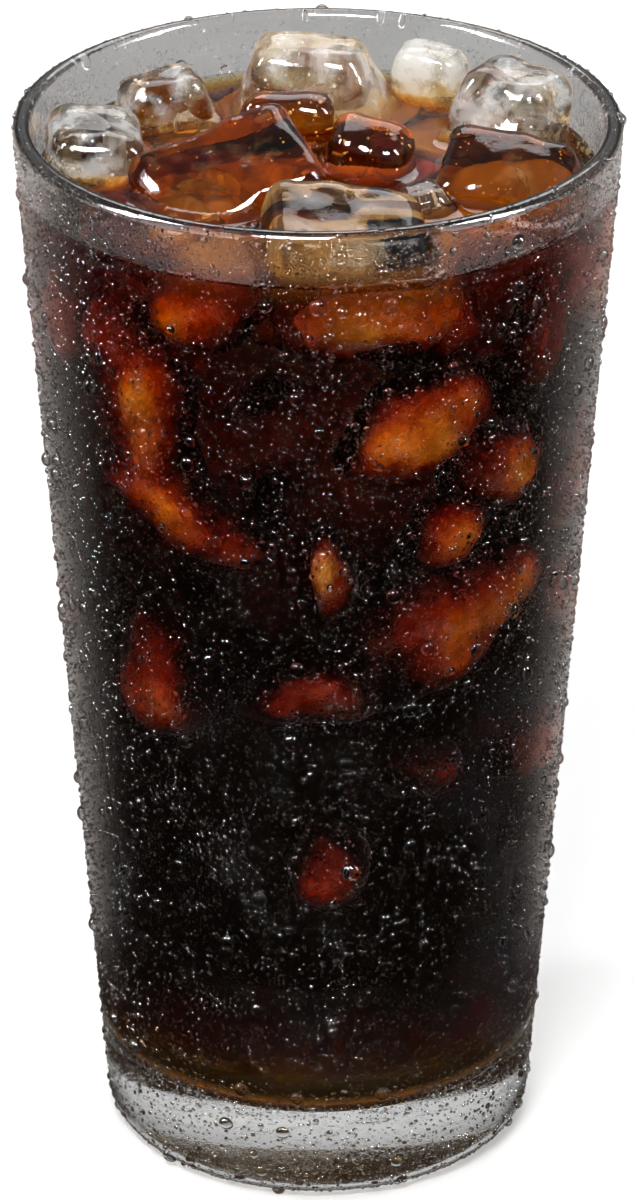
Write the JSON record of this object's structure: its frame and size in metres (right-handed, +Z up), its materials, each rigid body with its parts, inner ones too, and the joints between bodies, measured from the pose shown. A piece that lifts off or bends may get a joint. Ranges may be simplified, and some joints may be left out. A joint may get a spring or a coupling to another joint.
{
  "type": "iced coffee in a tumbler",
  "caption": "Tall tapered clear tumbler filled with black iced coffee, half melted ice standing out of the top and dew on the glass.",
  "frame": {"origin": "centre of the glass's foot, on the surface that it stands on", "axes": "+Z up along the glass's axis, -Y towards the side that the picture shows, +X to that side's right"},
  "size_m": [0.086, 0.086, 0.1596],
  "materials": {
    "glass": "clear polished glass under a coat of fine dew",
    "coffee": "clear dark brown liquid that turns amber where it is thin",
    "ice": "wet half melted ice with cracks, bubbles and a cloudy middle"
  },
  "bodies": {
    "root": {"coffee": "coffee", "glass": "glass", "ice_back": "ice", "ice_back_small": "ice", "ice_front": "ice", "ice_front_left": "ice", "ice_front_small": "ice", "ice_left": "ice", "ice_left_back": "ice", "ice_middle": "ice", "ice_middle_left": "ice", "ice_right": "ice", "ice_right_back": "ice"}
  },
  "joints": []
}
